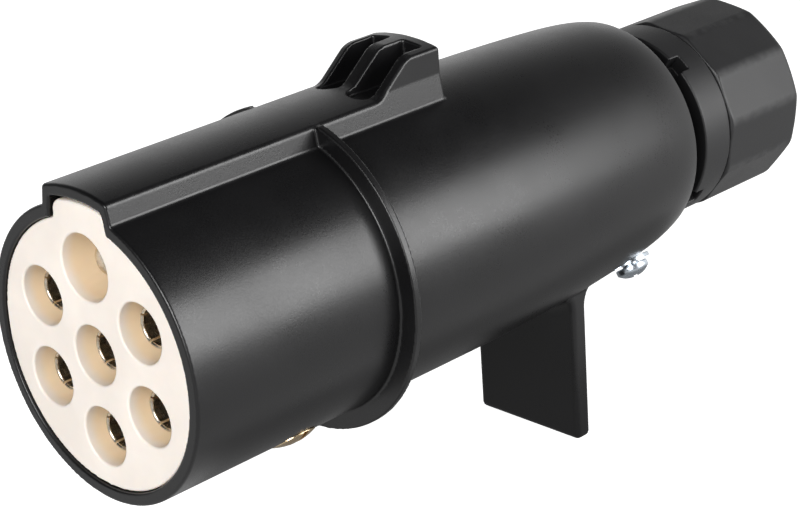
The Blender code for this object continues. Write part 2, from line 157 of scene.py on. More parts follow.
# %% Points that settle on a form
STEP = 0.01
LEAST_SLOPE, LONGEST_MOVE = 0.2, 0.4


def slope(form, points):
    """The distance at each point and its direction of growth."""
    columns = []
    for axis in range(3):
        shift = np.zeros(3)
        shift[axis] = STEP
        columns.append((form(*(points + shift).T) - form(*(points - shift).T)) / (2 * STEP))
    return form(*points.T), np.stack(columns, axis=1)


def settle(mesh, form, rounds, slide):
    """Moves a mesh's points onto the form and returns the outward direction at each."""
    points = np.empty(len(mesh.vertices) * 3)
    mesh.vertices.foreach_get("co", points)
    points = points.reshape(-1, 3)
    edges = np.empty(len(mesh.edges) * 2, dtype=np.int32)
    mesh.edges.foreach_get("vertices", edges)
    start, end = edges.reshape(-1, 2).T
    count = np.bincount(edges, minlength=len(points))[:, None]
    for _ in range(rounds):
        distance, out = slope(form, points)
        steep = np.maximum((out ** 2).sum(1), LEAST_SLOPE)
        move = np.clip(distance / steep, -LONGEST_MOVE, LONGEST_MOVE)
        points -= out * move[:, None]
        if slide:
            total = np.stack([np.bincount(start, points[end, k], len(points))
                              + np.bincount(end, points[start, k], len(points))
                              for k in range(3)], axis=1)
            pull = total / count - points
            pull -= out * ((pull * out).sum(1) / steep)[:, None]
            points += slide * pull
    mesh.vertices.foreach_set("co", points.ravel())
    mesh.update()
    out = slope(form, points)[1]
    return out / np.maximum(np.linalg.norm(out, axis=1), 1e-6)[:, None]


def evaluated_mesh(piece):
    """The piece's mesh with its modifiers applied."""
    bpy.context.view_layer.update()
    depsgraph = bpy.context.evaluated_depsgraph_get()
    return bpy.data.meshes.new_from_object(piece.evaluated_get(depsgraph))


def apply_modifiers(piece):
    piece.data = evaluated_mesh(piece)
    piece.modifiers.clear()


def place(name, mesh, matrix=None):
    """A new piece whose mesh is in the plug's millimetres, or in a matrix's."""
    piece = bpy.data.objects.new(name, mesh)
    pieces.objects.link(piece)
    piece.matrix_world = matrix or Matrix()
    return piece


def settled_on_frame(piece):
    """Turns the plug's millimetres into the frame's metres in the mesh itself."""
    piece.data.transform(PLUG @ piece.matrix_world)
    piece.matrix_world = Matrix()


# %% [markdown]
# Handling polishes the edges of a moulding first, and edges also catch the light. The
# form itself tells where they are: a quarter of a millimetre inside or outside a flat
# face the distance is exactly that, and near an edge it isn't. The difference is kept
# on the mesh as an attribute, wear, which the finish reads later for
# wear and for a painted edge highlight.

# %% A moulded piece from its form
EDGE_WIDTH, EDGE_MASK_GAIN = 0.25, 6.0
SETTLE_ROUNDS, LAST_ROUNDS, SLIDE = 5, 3, 0.5


def outward_edge_mask(form, points, out):
    """How sharply the form bends outwards at each point, from 0 to 1."""
    before = slope(form, points - out * EDGE_WIDTH)[0] + EDGE_WIDTH
    corners = form(*(points + out * EDGE_WIDTH).T) - EDGE_WIDTH
    return np.clip((np.abs(before) + np.abs(corners)) * EDGE_MASK_GAIN, 0.0, 1.0)


def mould(name, node, form, cell, faces):
    """A moulded piece in place of a CAD node, with at most about that many faces."""
    mesh = frame["nodes"][node].data.copy()
    mesh.transform(TO_PLUG)
    piece = place(name, mesh)
    remesh = piece.modifiers.new("even quads", "REMESH")
    remesh.mode = "VOXEL"
    remesh.voxel_size = cell
    apply_modifiers(piece)
    settle(piece.data, form, SETTLE_ROUNDS, SLIDE)
    thin = piece.modifiers.new("fewer faces", "DECIMATE")
    thin.ratio = min(1.0, faces / (2 * len(piece.data.polygons)))
    apply_modifiers(piece)
    out = settle(piece.data, form, LAST_ROUNDS, 0.0)
    points = np.empty(len(piece.data.vertices) * 3)
    piece.data.vertices.foreach_get("co", points)
    # The edge mask, kept for wear and for a painted edge highlight in the finish.
    wear = piece.data.attributes.new("wear", "FLOAT", "POINT")
    worn_and_lit_edge = outward_edge_mask(form, points.reshape(-1, 3), out)
    wear.data.foreach_set("value", worn_and_lit_edge.astype(np.float32))
    piece.data.materials.clear()
    piece.data.shade_smooth()
    piece.data.normals_split_custom_set_from_vertices(out.tolist())
    settled_on_frame(piece)
    print(name, len(piece.data.polygons), "faces")
    return piece


# %% [markdown]
# The housing is one moulding. Its barrel narrows slightly towards the cable, and its
# crown is lifted a little. A key rib runs along the top and rises into a latch block
# with two slots, which the socket's sprung lid hooks behind. A thin flange stops the
# plug at the socket's rim, and the fin below is the grip for pulling it out.

# %% Housing sizes
SLEEVE_R = 22.0
CROWN_Y, CROWN_END = 60.0, 108.6
CROWN_SHRINK, CROWN_ROLL, CROWN_LIFT = 2.3, 0.8, 0.85
BORE_R, BORE_END = 20.1, 37.3
KEY_R, KEY_HALF, KEY_DRAFT, KEY_FOOT = 24.75, 7.25, 0.17, 10.0
BLOCK_R, BLOCK_RISE, BLOCK_TOP, BLOCK_END = 29.5, 50.9, 56.9, 63.7
SLOT_X, SLOT_HALF, SLOT_Y, SLOT_END, SLOT_FLOOR = 3.2, 1.95, 50.35, 61.5, 23.7
FLANGE_R = to_plug(cad_high).x
FLANGE_LOW, FLANGE_HIGH = 37.7, 39.0
FIN_HALF, FIN_LOW, FIN_HIGH = 10.95, 86.2, 89.4
FIN_FOOT = to_plug(cad_low).z
SCREW_ANGLES = {"right": 148.0, "left": 212.0}
INSERT_SCREW_Y, REAR_SCREW_Y = 24.6, 100.6
print("flange radius", round(FLANGE_R, 2), "fin foot", round(FIN_FOOT, 2))


# %% Barrel, key and latch block
def crown(y):
    """The barrel's radius and how far its middle is lifted."""
    t = np.clip((y - CROWN_Y) / (CROWN_END - CROWN_Y), 0.0, 1.05)
    return SLEEVE_R - CROWN_SHRINK * t ** 2.1 - CROWN_ROLL * t ** 14, CROWN_LIFT * t ** 2


def barrel(x, y, z):
    radius, lift = crown(y)
    return np.hypot(x, z - lift) - radius


def key_rib(x, y, z):
    """The rib and the block behind it, under one top and between two sides."""
    r = np.hypot(x, z)
    rise = (BLOCK_R - KEY_R) / (BLOCK_TOP - BLOCK_RISE)
    ramp = (r - KEY_R - (y - BLOCK_RISE) * rise) / math.hypot(1.0, rise)
    top = join(r - KEY_R, meet(ramp, r - BLOCK_R, 0.8), 0.5)
    side = np.abs(x) - KEY_HALF + KEY_DRAFT * (np.minimum(z, KEY_R) - SLEEVE_R)
    return meet(meet(meet(top, side, 0.45), y - BLOCK_END, 0.55), KEY_FOOT - z)


def latch_slots(x, y, z):
    across = np.abs(x) - SLOT_X
    plan = np.where(y < SLOT_Y, np.hypot(across, y - SLOT_Y), np.abs(across)) - SLOT_HALF
    return meet(meet(plan, y - SLOT_END, 0.5), SLOT_FLOOR - z, 0.35)


print("barrel radius at the back", round(float(crown(CROWN_END)[0]), 2))

# %% Fin and hollow
WALL = 2.3
CHANNEL_HALF, CHANNEL_R, CHANNEL_FOOT, CHANNEL_MIDDLE = 5.9, 23.0, 8.0, 21.0
STOP_R, STOP_LOW, STOP_HIGH = 18.9, 30.0, 45.0
SPACE_START, SPACE_END = 38.9, 104.0
NECK_R, NECK_START = 13.0, 90.0


def fin(x, y, z):
    """The fin, with a fillet that leads it into the barrel in front and behind."""
    plate = between(y, FIN_LOW, FIN_HIGH)
    root = join(barrel(x, y, z) + 0.4, plate, 3.2)
    thick = meet(root, np.abs(x) - FIN_HALF, 0.9)
    return meet(meet(thick, FIN_FOOT - z, 0.9), z + 10.0)


def hollow(x, y, z):
    """The insert's bore, the stop behind it, the wiring space and the gland's hole."""
    r = np.hypot(x, z)
    bore = meet(r - BORE_R, y - BORE_END)
    half = CHANNEL_HALF - KEY_DRAFT * (z - CHANNEL_MIDDLE)
    channel = meet(meet(np.abs(x) - half, r - CHANNEL_R, 0.4), CHANNEL_FOOT - z)
    channel = meet(channel, y - BORE_END)
    stop = meet(r - STOP_R, between(y, STOP_LOW, STOP_HIGH))
    space = meet(meet(r - crown(y)[0] + WALL, SPACE_START - y), y - SPACE_END)
    neck = meet(r - NECK_R, NECK_START - y)
    return join(join(join(bore, channel), stop), join(space, neck))


# %% Screw seats and the whole housing
FRONT_SEAT_R, FRONT_SEAT_FLOOR = 3.85, 21.75
FRONT_HOLE_R, FRONT_HOLE_FLOOR, COUNTERSINK = 2.15, 14.9, 20.05
REAR_SEAT_R, REAR_SEAT_FLOOR = 3.9, 19.5
REAR_HOLE_R, REAR_HOLE_FLOOR = 1.8, 13.0
GROOVE_HALF, GROOVE_AHEAD, GROOVE_BEHIND, GROOVE_FLOOR = 1.4, 5.6, 0.5, 19.55


def screw_seats(x, y, z):
    """The sunk seats of the four fixing screws, and the grooves of the washer tabs."""
    seats = []
    for degrees in SCREW_ANGLES.values():
        out, across = radial(x, z, degrees)
        round_it = np.hypot(across, y - INSERT_SCREW_Y)
        seats.append(meet(round_it - FRONT_SEAT_R, FRONT_SEAT_FLOOR - out))
        cone = round_it - FRONT_HOLE_R - np.maximum(out - COUNTERSINK, 0.0)
        seats.append(meet(cone, FRONT_HOLE_FLOOR - out))
        round_it = np.hypot(across, y - REAR_SCREW_Y)
        seats.append(meet(round_it - REAR_SEAT_R, REAR_SEAT_FLOOR - out))
        seats.append(meet(round_it - REAR_HOLE_R, REAR_HOLE_FLOOR - out))
        length = between(y, REAR_SCREW_Y - GROOVE_AHEAD, REAR_SCREW_Y + GROOVE_BEHIND)
        seats.append(meet(meet(np.abs(across) - GROOVE_HALF, length), GROOVE_FLOOR - out))
    return np.minimum.reduce(seats)


def housing_form(x, y, z):
    """The whole housing. The flange stops at the sides of the key."""
    r = np.hypot(x, z)
    outside = join(barrel(x, y, z), key_rib(x, y, z), 0.3)
    flange = meet(r - FLANGE_R, between(y, FLANGE_LOW, FLANGE_HIGH), 0.25)
    over_key = meet(meet(np.abs(x) - KEY_HALF - 0.1, -z), KEY_R - 0.3 - r)
    flange = meet(flange, -over_key, 0.15)
    outside = join(join(outside, flange, 0.35), fin(x, y, z), 0.4)
    outside = meet(meet(outside, -y, 0.4), y - CROWN_END, 0.4)
    body = meet(outside, -hollow(x, y, z), 0.3)
    body = meet(body, -latch_slots(x, y, z), 0.25)
    return meet(body, -screw_seats(x, y, z), 0.12)


housing = mould("moulded_housing", "housing", housing_form, 0.36, 190000)
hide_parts("housing")
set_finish(housing, "housing_black")
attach(housing, "plug")

# %% [markdown]
# The insert is a thick disc of cream plastic with a tab that fills the key. Each
# contact stands in its own hole with its end below the face, so a finger can't touch
# it. The top hole holds the one solid pin and is a little wider. Cutting seven holes
# with Booleans would leave sharp rims, so the insert is a form too.

# %% Contact insert
INSERT_R = BORE_R - 0.12
INSERT_FACE, INSERT_END = span_y("contact_insert")
RING_R, PIN_RING_R = 12.36, 13.0
HOLE_R, PIN_HOLE_R, HOLE_END = 4.43, 4.95, 20.0
SHANK_SEAT_R, SHANK_SEAT_Y, SHANK_SEAT_END = 3.3, 15.0, 40.0
COLLAR_SEAT_R, COLLAR_SEAT_Y = 4.4, 30.7
TAB_HALF, TAB_DRAFT, TAB_R, TAB_CORNER = 5.6, 0.15, 22.4, 1.3
INSERT_HOLE_FLOOR = 15.2
RING_ANGLES = (60, 120, 180, 240, 300)
poles = {number: (RING_R * math.sin(math.radians(a)), RING_R * math.cos(math.radians(a)))
         for number, a in enumerate(RING_ANGLES, start=1)}
poles[6] = (0.0, 0.0)
poles[7] = (0.0, PIN_RING_R)


def insert_form(x, y, z):
    r = np.hypot(x, z)
    side = np.abs(x) - TAB_HALF + TAB_DRAFT * (z - CHANNEL_MIDDLE)
    tab = meet(meet(side, r - TAB_R, TAB_CORNER), CHANNEL_FOOT - z)
    body = join(r - INSERT_R, tab, 0.2)
    body = meet(meet(body, INSERT_FACE - y, 0.3), y - INSERT_END)
    for number, (px, pz) in poles.items():
        rho = np.hypot(x - px, z - pz)
        hole = meet(rho - (PIN_HOLE_R if number == 7 else HOLE_R), y - HOLE_END)
        shank = meet(rho - SHANK_SEAT_R, between(y, SHANK_SEAT_Y, SHANK_SEAT_END))
        seat = join(shank, meet(rho - COLLAR_SEAT_R, COLLAR_SEAT_Y - y))
        body = meet(body, -join(hole, seat), 0.3)
    for degrees in SCREW_ANGLES.values():
        out, across = radial(x, z, degrees)
        round_it = np.hypot(across, y - INSERT_SCREW_Y)
        body = meet(body, -meet(round_it - FRONT_HOLE_R, INSERT_HOLE_FLOOR - out))
    return body


insert = mould("moulded_insert", "contact_insert", insert_form, 0.3, 90000)
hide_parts("contact_insert")
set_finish(insert, "insert_cream")
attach(insert, "plug")

# %% [markdown]
# The gland is the third moulding: a neck that goes into the housing, a collar with
# four notches for a spanner, and a nut with twelve flats. Notches and flats with
# rounded edges are hard to bevel and easy to write as distances, so these two are
# forms as well. The nut's first corner is read from the CAD node, so that the flats
# lie where they were designed.

# %% Gland body and nut
COLLAR_R, COLLAR_LOW, COLLAR_HIGH = 16.2, 114.4, 120.8
NUT_R, NUT_FLATS = 16.6, 12
NUT_LOW, NUT_HIGH = span_y("gland_nut")
NOTCH_ANGLES = (38, 128, 218, 308)
NOTCH_HALF, NOTCH_LENGTH, NOTCH_FLOOR = 1.4, 2.2, 13.4
GLAND_NECK_R, GLAND_NECK_Y = 12.7, 98.0
STUB_R, STUB_START, STUB_END = 14.0, COLLAR_LOW + 3.0, 131.5
CORE_HOLE_R, SEAL_SEAT_R, SEAL_SEAT_Y = 9.8, 12.4, 124.0


def gland_form(x, y, z):
    r = np.hypot(x, z)
    collar = meet(r - COLLAR_R, between(y, COLLAR_LOW, COLLAR_HIGH), 0.35)
    for degrees in NOTCH_ANGLES:
        out, across = radial(x, z, degrees)
        notch = meet(np.abs(across) - NOTCH_HALF, y - COLLAR_LOW - NOTCH_LENGTH, 0.3)
        collar = meet(collar, -meet(notch, NOTCH_FLOOR - out, 0.2), 0.2)
    neck = meet(r - GLAND_NECK_R, between(y, GLAND_NECK_Y, COLLAR_HIGH))
    stub = meet(r - STUB_R, between(y, STUB_START, STUB_END), 0.5)
    hole = join(r - CORE_HOLE_R, meet(r - SEAL_SEAT_R, SEAL_SEAT_Y - y))
    return meet(join(join(collar, neck, 0.2), stub), -hole, 0.2)


def first_corner(node):
    """The angle from straight up to a corner of a many-sided node."""
    points = [to_plug(v.co) for v in frame["nodes"][node].data.vertices]
    corner = max(points, key=lambda p: round(math.hypot(p.x, p.z), 3))
    return math.atan2(corner.x, corner.z)


# %% Nut
CORNER = first_corner("gland_nut")
NUT_BORE_R, NUT_BORE_END = 14.3, 134.5
CABLE_R, MOUTH = 8.8, 0.8


def nut_form(x, y, z):
    """Twelve flats, with a small chamfer in front and a larger, rounder one behind."""
    r = np.hypot(x, z)
    sector = 2 * math.pi / NUT_FLATS
    apothem = NUT_R * math.cos(sector / 2)
    turn = np.abs(np.mod(np.arctan2(x, z) - CORNER, sector) - sector / 2)
    flats = meet(r * np.cos(turn) - apothem, r * np.cos(sector - turn) - apothem, 0.5)
    front = ((NUT_LOW + 0.5 - y) * 0.7 + (r - NUT_R) * 0.5) / 0.86
    back = ((y - NUT_HIGH + 0.9) * 1.4 + (r - NUT_R) * 0.9) / 1.664
    body = meet(meet(flats, front, 0.2), back, 0.6)
    body = meet(body, between(y, NUT_LOW, NUT_HIGH), 0.2)
    bore = meet(r - NUT_BORE_R, y - NUT_BORE_END)
    way_out = join(r - CABLE_R, (r - CABLE_R - (y - NUT_HIGH + MOUTH)) / math.sqrt(2))
    return meet(body, -join(bore, way_out), 0.2)


gland_body = mould("moulded_gland_body", "gland_body", gland_form, 0.3, 50000)
gland_nut = mould("moulded_gland_nut", "gland_nut", nut_form, 0.3, 50000)
for piece, node, body in ((gland_body, "gland_body", "plug"), (gland_nut, "gland_nut", "gland_nut")):
    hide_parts(node)
    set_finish(piece, "gland_black")
    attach(piece, body)

# %% [markdown]
# Contacts and screws are turned on a lathe, so each is a profile with a Screw
# modifier. A contact socket is a thin tube, slit crosswise so that its four fingers
# spring onto the pin, and its mouth is rounded inwards to lead the pin in.

# %% Turned pieces
TURN_STEPS = 96
MERGE = 0.002


def arc(y, r, size, start, end, count=6):
    """Points round a quarter of a circle, as (height, radius) pairs."""
    angles = [math.radians(start + (end - start) * i / count) for i in range(count + 1)]
    return [(y + size * math.sin(a), r + size * math.cos(a)) for a in angles]


def clean(mesh):
    """Merges doubled points and turns every face outwards."""
    bm = bmesh.new()
    bm.from_mesh(mesh)
    bmesh.ops.remove_doubles(bm, verts=bm.verts, dist=MERGE)
    bmesh.ops.recalc_face_normals(bm, faces=bm.faces)
    bm.to_mesh(mesh)
    bm.free()


def turned(name, profile, matrix):
    """Turns (height, radius) pairs, listed from the axis round the outside and back."""
    mesh = bpy.data.meshes.new(name)
    edges = [(i, i + 1) for i in range(len(profile) - 1)]
    mesh.from_pydata([(r, 0.0, h) for h, r in profile], edges, [])
    piece = place(name, mesh, matrix)
    screw = piece.modifiers.new("turn", "SCREW")
    screw.steps = TURN_STEPS
    screw.render_steps = TURN_STEPS
    screw.use_merge_vertices = True
    screw.merge_threshold = MERGE
    apply_modifiers(piece)
    clean(piece.data)
    return piece


# %% Slots, smooth faces and places
SHARP_ANGLE = 30.0


def cut_box(piece, low, high, matrix):
    """Cuts a box out of a piece."""
    bm = bmesh.new()
    bmesh.ops.create_cube(bm, size=1.0)
    bmesh.ops.scale(bm, vec=Vector(high) - Vector(low), verts=bm.verts)
    bmesh.ops.translate(bm, vec=(Vector(low) + Vector(high)) / 2, verts=bm.verts)
    mesh = bpy.data.meshes.new("cutter")
    bm.to_mesh(mesh)
    bm.free()
    cutter = place("cutter", mesh, matrix)
    cut = piece.modifiers.new("cut", "BOOLEAN")
    cut.operation = "DIFFERENCE"
    cut.object = cutter
    cut.solver = "EXACT"
    apply_modifiers(piece)
    bpy.data.objects.remove(cutter)


def smooth(piece):
    """Smooth faces with sharp corners, and the mesh in the frame's metres."""
    piece.data.shade_smooth()
    piece.data.set_sharp_from_angle(angle=math.radians(SHARP_ANGLE))
    settled_on_frame(piece)


def along(x=0.0, z=0.0):
    """A piece's own Z laid along the plug, at a place beside its middle line."""
    return Matrix.Translation((x, 0.0, z)) @ Matrix.Rotation(-math.pi / 2, 4, "X")


def spoke(degrees, y, x=0.0, z=0.0):
    """A piece's own Z pointing out from the plug's line."""
    return Matrix.Translation((x, y, z)) @ Matrix.Rotation(math.radians(degrees), 4, "Y")


# %% Contact sockets and pin
TUBE_R, TUBE_BORE_R, TUBE_FACE = 3.1, 2.55, 3.0
TUBE_BACK, BORE_BACK = 19.0, 17.4
SLIT_ANGLE, SLIT_HALF, SLIT_FROM, SLIT_TO, SLIT_REACH = 28.0, 0.17, 2.0, 16.0, 5.0
LIP, LEAD_IN = 0.15, 0.35
SHANK_R = 3.0
PIN_R, PIN_BACK, PIN_ROUND = 2.45, 18.0, 1.2


def wire_end():
    """The back of a contact: shank, collar and the bore for the wire."""
    wire_bore = [(39.0, 0.0), (39.0, 1.9), (47.8, 1.9), (48.0, 2.1)]
    shank = [(48.0, 2.8), (47.8, SHANK_R), (33.8, SHANK_R)]
    collar = [(33.8, 3.9), (33.6, 4.1), (31.2, 4.1), (31.0, 3.9), (31.0, SHANK_R)]
    return wire_bore + shank + collar


contacts = []
for number in range(1, 7):
    node = f"contact_socket_{number}"
    px, pz = poles[number]
    mouth = arc(TUBE_FACE + LIP, TUBE_R - LIP, LIP, 0, -90)
    mouth += arc(TUBE_FACE + LEAD_IN, TUBE_BORE_R + LEAD_IN, LEAD_IN, -90, -180)
    profile = wire_end() + [(TUBE_BACK, SHANK_R), (TUBE_BACK, TUBE_R)] + mouth
    profile += [(BORE_BACK, TUBE_BORE_R), (18.2, 0.6), (18.3, 0.0)]
    socket = turned(f"turned_socket_{number}", profile, along(px, pz))
    for degrees in (SLIT_ANGLE, SLIT_ANGLE + 90.0):
        cut_box(socket, (-SLIT_HALF, SLIT_FROM, -SLIT_REACH), (SLIT_HALF, SLIT_TO, SLIT_REACH),
                spoke(degrees, 0.0, px, pz))
    contacts.append((socket, node))

pin_tip = span_y("contact_pin")[0]
profile = wire_end() + [(PIN_BACK, SHANK_R), (PIN_BACK, PIN_R)]
profile += arc(pin_tip + PIN_ROUND, 1.25, PIN_ROUND, 0, -90, 8) + [(pin_tip, 0.0)]
contacts.append((turned("turned_pin", profile, along(*poles[7])), "contact_pin"))
for piece, node in contacts:
    smooth(piece)
    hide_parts(node)
    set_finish(piece, "contact_nickel")
    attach(piece, "plug")
print(len(contacts), "contacts")

# %% [markdown]
# Two raised screws hold the insert, and two pan-head screws at the back clamp the
# gland. They are turned like the contacts, and a small box cuts the slots in their
# heads. Their threads are plain ridges: at this size a true helix would look the
# same and cost far more faces.

# %% Fixing screws
def thread(low, high, radius, pitch):
    """A row of ridges between two heights, listed from the head downwards."""
    points = []
    height = high
    while height - pitch > low:
        points += [(height, radius), (height - pitch * 0.5, radius - pitch * 0.45)]
        height -= pitch
    return points


screws = []
for side, degrees in SCREW_ANGLES.items():
    at_front = spoke(degrees, INSERT_SCREW_Y)
    head = [(22.75 - 0.75 * (r / 3.5) ** 2, r) for r in (0.0, 0.9, 1.7, 2.4, 3.0, 3.4)]
    profile = head + [(21.95, 3.5), (21.8, 3.5), (20.1, 1.8)] + thread(15.8, 19.8, 1.78, 0.7)
    screw = turned(f"insert_screw_{side}_turned", profile + [(15.6, 1.0), (15.6, 0.0)], at_front)
    cut_box(screw, (-4.0, -0.42, 21.85), (4.0, 0.42, 24.0), at_front)
    screws.append((screw, f"insert_screw_{side}", f"insert_screw_{side}", "plated_brass"))

    at_back = spoke(degrees, REAR_SCREW_Y)
    head = [(22.8 - 1.1 * (r / 2.75) ** 2.6, r) for r in (0.0, 0.7, 1.3, 1.8, 2.2, 2.5, 2.68)]
    profile = head + [(21.55, 2.75), (20.95, 2.75), (20.8, 2.6), (20.8, 1.4)]
    profile += thread(14.6, 20.4, 1.38, 0.5) + [(14.4, 0.8), (14.4, 0.0)]
    screw = turned(f"rear_screw_{side}_turned", profile, at_back)
    for quarter in (45.0, 135.0):
        spin = at_back @ Matrix.Rotation(math.radians(quarter), 4, "Z")
        cut_box(screw, (-1.5, -0.32, 21.7), (1.5, 0.32, 24.0), spin)
    screws.append((screw, f"rear_screw_{side}", f"rear_screw_{side}", "zinc_plate"))

for piece, node, body, slot in screws:
    smooth(piece)
    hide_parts(node)
    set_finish(piece, slot)
    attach(piece, body)


# %% [markdown]
# Each rear screw stands on a washer with a tab that lies in a groove, so that the
# washer can't turn. It is stamped from sheet and isn't round, so a lathe can't make
# it: a filled curve gives the outline and the hole, and its bevel rounds the edges.

# %% Tab washers
WASHER_R, WASHER_HOLE_R, WASHER_POINTS = 3.5, 1.75, 40
WASHER_HALF, WASHER_EDGE, WASHER_HEIGHT = 0.29, 0.06, 20.15
TAB_ANGLE = 19
TAB_END = [(-1.1, -4.9), (-0.8, -5.3), (0.8, -5.3), (1.1, -4.9)]


def washer_outline():
    """A round washer with a tab towards the mating face, as (x, y) pairs."""
    points = []
    for i in range(WASHER_POINTS + 1):
        a = math.radians(-90 + TAB_ANGLE + i * (360 - 2 * TAB_ANGLE) / WASHER_POINTS)
        points.append((WASHER_R * math.cos(a), WASHER_R * math.sin(a)))
    return points + TAB_END


def washer_hole():
    """The washer's hole, as (x, y) pairs."""
    turns = [2 * math.pi * i / WASHER_POINTS for i in range(WASHER_POINTS)]
    return [(WASHER_HOLE_R * math.cos(a), WASHER_HOLE_R * math.sin(a)) for a in turns]


def washer(side, degrees):
    """A stamped washer: its outline and hole as a filled curve with rounded edges."""
    curve = bpy.data.curves.new("washer", "CURVE")
    curve.dimensions = "2D"
    curve.fill_mode = "BOTH"
    curve.extrude = WASHER_HALF
    curve.bevel_depth = WASHER_EDGE
    curve.offset = -WASHER_EDGE
    for outline in (washer_outline(), washer_hole()):
        spline = curve.splines.new("POLY")
        spline.points.add(len(outline) - 1)
        for point, (x, y) in zip(spline.points, outline):
            point.co = (x, y, 0.0, 1.0)
        spline.use_cyclic_u = True
    flat = bpy.data.objects.new("washer_outline", curve)
    bpy.context.scene.collection.objects.link(flat)
    mesh = evaluated_mesh(flat)
    bpy.data.objects.remove(flat)
    clean(mesh)
    lift = Matrix.Translation((0.0, 0.0, WASHER_HEIGHT))
    piece = place(f"stamped_washer_{side}", mesh, spoke(degrees, REAR_SCREW_Y) @ lift)
    smooth(piece)
    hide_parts(f"tab_washer_{side}")
    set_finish(piece, "zinc_plate")
    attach(piece, f"tab_washer_{side}")
    return piece


washers = [washer(side, degrees) for side, degrees in SCREW_ANGLES.items()]
print(len(screws), "screws and", len(washers), "washers")

# %% [markdown]
# A finish is a small graph of nodes. The class below wraps a socket, so that sums on
# it can be written as plain expressions: each operator adds one Math node. Every
# other node comes from one method, which takes the node's type, its settings and the
# values of its sockets.

# %% Sockets that can be added and multiplied
class Wire:
    """An output socket of a finish."""

    def __init__(self, finish, socket):
        self.finish = finish
        self.socket = socket

    def math(self, operation, a, b):
        return self.finish.node("ShaderNodeMath", {"operation": operation}, {0: a, 1: b})

    def __add__(self, other):
        return self.math("ADD", self, other)

    def __mul__(self, other):
        return self.math("MULTIPLY", self, other)

    def __sub__(self, other):
        return self.math("SUBTRACT", self, other)

    def __rsub__(self, other):
        return self.math("SUBTRACT", other, self)

    __radd__ = __add__
    __rmul__ = __mul__


class Finish:
    """A material in the making, built round one Principled shader."""

    def __init__(self, name):
        self.material = bpy.data.materials.new(name)
        self.material.use_nodes = True
        self.tree = self.material.node_tree
        self.shader = self.tree.nodes["Principled BSDF"]

    def node(self, kind, settings=None, inputs=None, output=0):
        made = self.tree.nodes.new(kind)
        for key, value in (settings or {}).items():
            if key == "stops":
                set_stops(made.color_ramp, value)
            else:
                setattr(made, key, value)
        for key, value in (inputs or {}).items():
            self.feed(made.inputs[key], value)
        return Wire(self, made.outputs[output])

    def feed(self, target, value):
        if isinstance(value, Wire):
            self.tree.links.new(value.socket, target)
        else:
            target.default_value = value

    def shade(self, **inputs):
        """Feeds the shader: spaces in a socket's name are written as underscores."""
        for key, value in inputs.items():
            self.feed(self.shader.inputs[key.replace("_", " ")], value)


def set_stops(ramp, stops):
    """Sets a ramp's (position, grey) stops."""
    while len(ramp.elements) < len(stops):
        ramp.elements.new(0.5)
    for element, (position, grey) in zip(ramp.elements, stops):
        element.position = position
        element.color = (grey, grey, grey, 1.0)


# %% [markdown]
# Patterns follow the piece itself, in metres, so a grain of a quarter of a millimetre
# is noise at a scale of 4000. Cloudy noise is for slow changes, stretched noise for
# the fine rings that a lathe tool leaves, and both stay weak: a good finish is seen
# in how its highlight breaks up, more than in its colour.

# %% Patterns
def colour(r, g, b):
    return (r, g, b, 1.0)


def place_of(finish, stretch=(1.0, 1.0, 1.0)):
    """The piece's own coordinates, stretched along chosen axes."""
    own = finish.node("ShaderNodeTexCoord", output="Object")
    return finish.node("ShaderNodeMapping", {}, {"Vector": own, "Scale": stretch})


def noise(finish, size_mm, detail, stretch=(1.0, 1.0, 1.0)):
    """Noise from 0 to 1 with features of about that many millimetres."""
    inputs = {"Vector": place_of(finish, stretch), "Scale": 1.0 / (size_mm * MM),
              "Detail": detail}
    return finish.node("ShaderNodeTexNoise", {}, inputs)


def spread(finish, value, low, high):
    """Stretches the middle of a noise to the full range from 0 to 1."""
    inputs = {"Value": value, "From Min": low, "From Max": high}
    return finish.node("ShaderNodeMapRange", {}, inputs)


def mix(finish, factor, a, b):
    """A colour between two colours."""
    return finish.node("ShaderNodeMix", {"data_type": "RGBA"}, {0: factor, 6: a, 7: b}, output=2)


def bump(finish, height, depth_mm):
    """The tilt of light by bumps of about that many millimetres."""
    inputs = {"Height": height, "Distance": depth_mm * MM, "Strength": 1.0}
    return finish.node("ShaderNodeBump", {}, inputs)


# %% [markdown]
# Black polyamide comes out of a spark-eroded mould: a fine, even grain that turns a
# lamp's reflection into a soft speckled band. Rounded edges are polished by handling,
# so they are a touch smoother, and their lighter colour is partly wear and partly a
# painted edge highlight. The gland is a greyer, duller grade.

# %% Moulded plastics
CLOUD_MM, PATCH_MM = 9.0, 1.6
RUBBED = 1.25


def moulded_plastic(name, base, worn_and_lit_edge, roughness, grain_mm, depth_mm):
    """Grained plastic with slow clouds; edges smoother, worn and with a painted highlight."""
    finish = Finish(name)
    clouds = spread(finish, noise(finish, CLOUD_MM, 4.0), 0.35, 0.65)
    grain = noise(finish, grain_mm, 3.0)
    pits = noise(finish, grain_mm * 0.45, 1.0)
    wear = finish.node("ShaderNodeAttribute", {"attribute_name": "wear"}, output="Fac")
    # Paler, smoother patches on edges: part wear, part painted edge highlight.
    patchy = wear * spread(finish, noise(finish, PATCH_MM, 3.0), 0.4, 0.6)
    rubbed = mix(finish, clouds * 0.35, base, [c * RUBBED for c in base[:3]] + [1.0])
    finish.shade(
        Base_Color=mix(finish, patchy * 0.5, rubbed, worn_and_lit_edge),
        Roughness=roughness + (clouds - 0.5) * 0.05 + (grain - 0.5) * 0.20 - patchy * 0.05,
        Normal=bump(finish, grain + pits * 0.5, depth_mm),
    )
    return finish


# %% [markdown]
# Light that enters the insert's holes bounces from cream to cream and comes out
# warmer. Many bounces are slow to render, so a warmer colour is mixed in by depth as
# painted bounce light, and a little subsurface scattering softens the rims.

# %% The three plastics
INSIDE_FROM, INSIDE_TO = FACE_Y + 0.0006, FACE_Y + 0.0028
# The warmer colour of the painted bounce light, deep in the holes.
BOUNCE_LIGHT_CREAM = colour(0.90, 0.72, 0.50)


